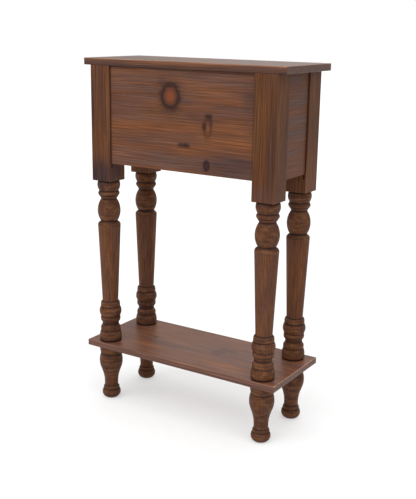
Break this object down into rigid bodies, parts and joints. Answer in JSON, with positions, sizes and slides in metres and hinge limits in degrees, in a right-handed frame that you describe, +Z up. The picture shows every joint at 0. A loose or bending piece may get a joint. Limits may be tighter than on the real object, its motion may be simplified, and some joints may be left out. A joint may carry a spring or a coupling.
{
  "type": "side table",
  "caption": "Narrow wooden side table with turned legs, an inset drawer under the top, a plain panelled back and a low shelf.",
  "frame": {"origin": "on the floor, at the middle of the table's footprint with the drawer closed and the knob counted", "axes": "+Z up, -Y the way the drawer opens, +Y towards the wall behind the plain back panel, +X to the right for someone facing the drawer"},
  "size_m": [0.5, 0.222, 0.8],
  "materials": {
    "top_wood": "satin brown-stained pine",
    "leg_wood": "satin brown-stained pine, turned",
    "shelf_wood": "satin brown-stained pine",
    "panel_wood": "satin brown-stained pine",
    "inner_wood": "bare pine",
    "knob_wood": "satin brown-stained turned pine",
    "steel": "zinc-plated"
  },
  "bodies": {
    "table": {"table_top": "top_wood", "leg_front_left": "leg_wood", "leg_front_right": "leg_wood", "leg_back_left": "leg_wood", "leg_back_right": "leg_wood", "shelf": "shelf_wood", "foot_front_left": "leg_wood", "foot_front_right": "leg_wood", "foot_back_left": "leg_wood", "foot_back_right": "leg_wood", "leg_studs": "steel", "back_panel": "panel_wood", "end_panel_left": "panel_wood", "end_panel_right": "panel_wood", "front_rail_low": "panel_wood", "front_rail_high": "panel_wood", "drawer_runner_left": "inner_wood", "drawer_runner_right": "inner_wood", "kicker_left": "inner_wood", "kicker_right": "inner_wood", "top_screws": "steel", "glue_blocks": "inner_wood", "drawer_stops": "inner_wood"},
    "drawer": {"drawer_front": "panel_wood", "drawer_side_left": "inner_wood", "drawer_side_right": "inner_wood", "drawer_back": "inner_wood", "drawer_bottom": "inner_wood", "knob": "knob_wood", "knob_screw": "steel"}
  },
  "joints": [
    {"name": "drawer_slide", "type": "slide", "parent": "table", "child": "drawer", "axis": [0, -1, 0], "range_m": [0, 0.12]}
  ]
}
